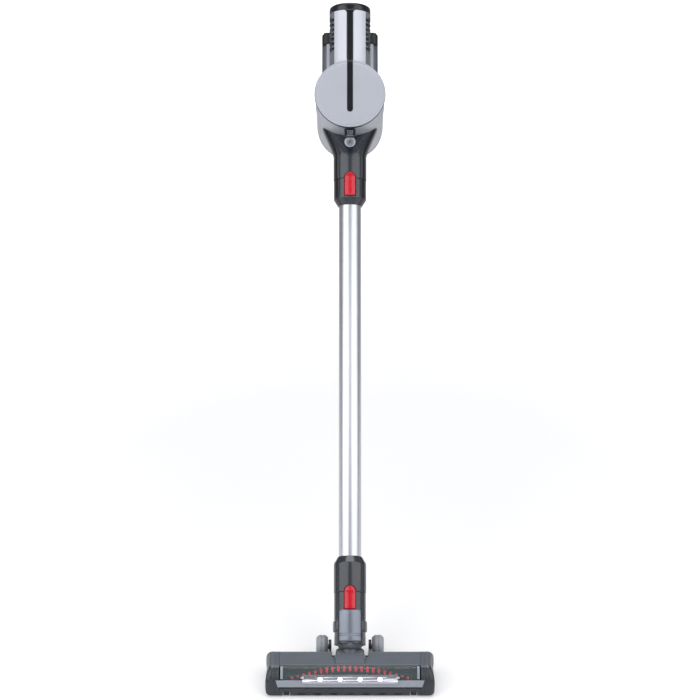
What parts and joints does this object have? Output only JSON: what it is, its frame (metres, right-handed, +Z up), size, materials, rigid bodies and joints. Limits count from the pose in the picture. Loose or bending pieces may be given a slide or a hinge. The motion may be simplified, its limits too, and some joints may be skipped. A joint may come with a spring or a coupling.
{
  "type": "cordless stick vacuum",
  "caption": "Cordless stick vacuum: lit motorised floor head, swivel neck, aluminium wand and hand-held cyclone unit with dust cup and battery pack.",
  "frame": {"origin": "centre of the footprint's bounding box, on the floor", "axes": "+Z up, the head's front faces -Y, the wand leans back towards +Y, +X to the user's right when facing the head's front from behind"},
  "size_m": [0.252, 0.8204, 0.8347],
  "materials": {
    "light_gray_plastic": "satin",
    "silver_plastic": "glossy silver",
    "mid_gray_plastic": "satin",
    "dark_gray_plastic": "glossy",
    "black_plastic": "satin",
    "red_plastic": "glossy",
    "rubber": "matte",
    "aluminium_tube": "bright satin",
    "steel": "brushed",
    "smoke_window": "clear smoke green",
    "chrome_bar": "bright",
    "led": "lit lens",
    "bristle": "stiff nylon tufts",
    "filter_paper": "pleated",
    "cell_wrap": "shrink wrap",
    "board": "solder mask",
    "wheel_plastic": "satin"
  },
  "bodies": {
    "handheld": {"cyclone_head": "light_gray_plastic", "cover_gasket": "rubber", "top_cover": "light_gray_plastic", "stripe": "black_plastic", "inlet_duct": "dark_gray_plastic", "motor_housing": "mid_gray_plastic", "motor_panels": "silver_plastic", "motor_can": "steel", "cyclone_cones": "mid_gray_plastic", "shroud": "steel", "handle": "dark_gray_plastic", "grip": "rubber", "battery_dock": "mid_gray_plastic", "dock_cover": "silver_plastic", "control_board": "board", "housing_screws": "steel"},
    "impeller": {"impeller": "silver_plastic"},
    "trigger": {"trigger": "red_plastic"},
    "cup_latch": {"cup_latch": "black_plastic"},
    "round_button": {"round_button": "silver_plastic"},
    "exhaust": {"exhaust_cap": "black_plastic", "exhaust_filter": "filter_paper"},
    "dust_cup": {"dust_cup": "light_gray_plastic", "cup_pins": "steel"},
    "cup_lid": {"cup_lid": "mid_gray_plastic"},
    "lid_latch": {"lid_latch": "red_plastic"},
    "battery": {"battery_shell": "mid_gray_plastic", "battery_cap": "black_plastic", "battery_cells": "cell_wrap", "charge_jack": "steel"},
    "battery_button_l": {"battery_button_l": "red_plastic"},
    "battery_button_r": {"battery_button_r": "red_plastic"},
    "wand": {"wand_tube": "aluminium_tube", "upper_collar": "dark_gray_plastic", "lower_collar": "dark_gray_plastic", "wire_duct": "black_plastic"},
    "upper_button": {"upper_button": "red_plastic"},
    "neck": {"neck_tube": "dark_gray_plastic", "neck_panel": "silver_plastic", "knuckle_pins": "steel"},
    "lower_button": {"lower_button": "red_plastic"},
    "knuckle": {"swivel_knuckle": "mid_gray_plastic"},
    "floor_head": {"head_cover": "mid_gray_plastic", "fairing": "dark_gray_plastic", "base_frame": "dark_gray_plastic", "brush_window": "smoke_window", "silver_strip": "light_gray_plastic", "light_bar": "chrome_bar", "led_lenses": "led", "end_caps": "dark_gray_plastic", "axle_pins": "steel", "drive_motor": "steel", "belt": "rubber"},
    "brush": {"brush_core": "black_plastic", "bristles": "bristle"},
    "motor_pulley": {"motor_pulley": "black_plastic"},
    "rear_wheel_l": {"rear_wheel_l": "wheel_plastic"},
    "rear_wheel_r": {"rear_wheel_r": "wheel_plastic"},
    "front_roller_l": {"front_roller_l": "black_plastic"},
    "front_roller_r": {"front_roller_r": "black_plastic"}
  },
  "joints": [
    {"name": "impeller_spin", "type": "hinge", "parent": "handheld", "child": "impeller", "pos_m": [0, 0.2405, 0.75908], "axis": [0, 0.6428, 0.766], "continuous": true},
    {"name": "trigger_pull", "type": "hinge", "parent": "handheld", "child": "trigger", "pos_m": [0, 0.29253, 0.74388], "axis": [1, 0, 0], "range_deg": [0, 8], "stiffness_Nm_per_rad": 0.6, "springref_deg": -8.59},
    {"name": "cup_latch_slide", "type": "slide", "parent": "handheld", "child": "cup_latch", "axis": [0, -0.7314, 0.682], "range_m": [0, 0.003], "stiffness_N_per_m": 300, "springref_m": -0.002},
    {"name": "round_button_press", "type": "slide", "parent": "handheld", "child": "round_button", "axis": [0, 0.766, -0.6428], "range_m": [0, 0.002], "stiffness_N_per_m": 300, "springref_m": -0.002},
    {"name": "exhaust_cap_lift", "type": "slide", "parent": "handheld", "child": "exhaust", "axis": [0, 0.6428, 0.766], "range_m": [0, 0.04]},
    {"name": "dust_cup_lift_off", "type": "slide", "parent": "handheld", "child": "dust_cup", "axis": [0, 0.7314, -0.682], "range_m": [0, 0.065]},
    {"name": "cup_lid_open", "type": "hinge", "parent": "dust_cup", "child": "cup_lid", "pos_m": [0, 0.24346, 0.57531], "axis": [-1, 0, 0], "range_deg": [0, 95]},
    {"name": "lid_latch_tilt", "type": "hinge", "parent": "dust_cup", "child": "lid_latch", "pos_m": [0, 0.3134, 0.66131], "axis": [1, 0, 0], "range_deg": [0, 4], "stiffness_Nm_per_rad": 0.6, "springref_deg": -8.59},
    {"name": "battery_slide_off", "type": "slide", "parent": "handheld", "child": "battery", "axis": [0, 0.766, -0.6428], "range_m": [0, 0.05]},
    {"name": "battery_button_l_press", "type": "slide", "parent": "battery", "child": "battery_button_l", "axis": [1, 0, 0], "range_m": [0, 0.0018], "stiffness_N_per_m": 300, "springref_m": -0.002},
    {"name": "battery_button_r_press", "type": "slide", "parent": "battery", "child": "battery_button_r", "axis": [-1, 0, 0], "range_m": [0, 0.0018], "stiffness_N_per_m": 300, "springref_m": -0.002},
    {"name": "wand_pull_off", "type": "slide", "parent": "handheld", "child": "wand", "axis": [0, -0.6428, -0.766], "range_m": [0, 0.05]},
    {"name": "upper_button_press", "type": "slide", "parent": "wand", "child": "upper_button", "axis": [0, 0.766, -0.6428], "range_m": [0, 0.002], "stiffness_N_per_m": 300, "springref_m": -0.002},
    {"name": "head_pull_off", "type": "slide", "parent": "wand", "child": "neck", "axis": [0, -0.6428, -0.766], "range_m": [0, 0.04]},
    {"name": "lower_button_press", "type": "slide", "parent": "neck", "child": "lower_button", "axis": [0, 0.766, -0.6428], "range_m": [0, 0.002], "stiffness_N_per_m": 300, "springref_m": -0.002},
    {"name": "neck_swing", "type": "hinge", "parent": "neck", "child": "knuckle", "pos_m": [0, -0.33693, 0.04915], "axis": [0, -0.766, 0.6428], "range_deg": [-10, 10]},
    {"name": "neck_pitch", "type": "hinge", "parent": "knuckle", "child": "floor_head", "pos_m": [0, -0.35, 0.022], "axis": [1, 0, 0], "range_deg": [-22, 38]},
    {"name": "brush_spin", "type": "hinge", "parent": "floor_head", "child": "brush", "pos_m": [0, -0.389, 0.0195], "axis": [1, 0, 0], "continuous": true},
    {"name": "motor_pulley_spin", "type": "hinge", "parent": "floor_head", "child": "motor_pulley", "pos_m": [0, -0.3545, 0.02], "axis": [1, 0, 0], "continuous": true},
    {"name": "rear_wheel_l_spin", "type": "hinge", "parent": "floor_head", "child": "rear_wheel_l", "pos_m": [-0.042, -0.3052, 0.018], "axis": [1, 0, 0], "continuous": true},
    {"name": "rear_wheel_r_spin", "type": "hinge", "parent": "floor_head", "child": "rear_wheel_r", "pos_m": [0.042, -0.3052, 0.018], "axis": [1, 0, 0], "continuous": true},
    {"name": "front_roller_l_spin", "type": "hinge", "parent": "floor_head", "child": "front_roller_l", "pos_m": [-0.0945, -0.4062, 0.0065], "axis": [1, 0, 0], "continuous": true},
    {"name": "front_roller_r_spin", "type": "hinge", "parent": "floor_head", "child": "front_roller_r", "pos_m": [0.0945, -0.4062, 0.0065], "axis": [1, 0, 0], "continuous": true}
  ],
  "couplings": [
    {"joint": "motor_pulley_spin", "follows": "brush_spin", "ratio": 2}
  ]
}
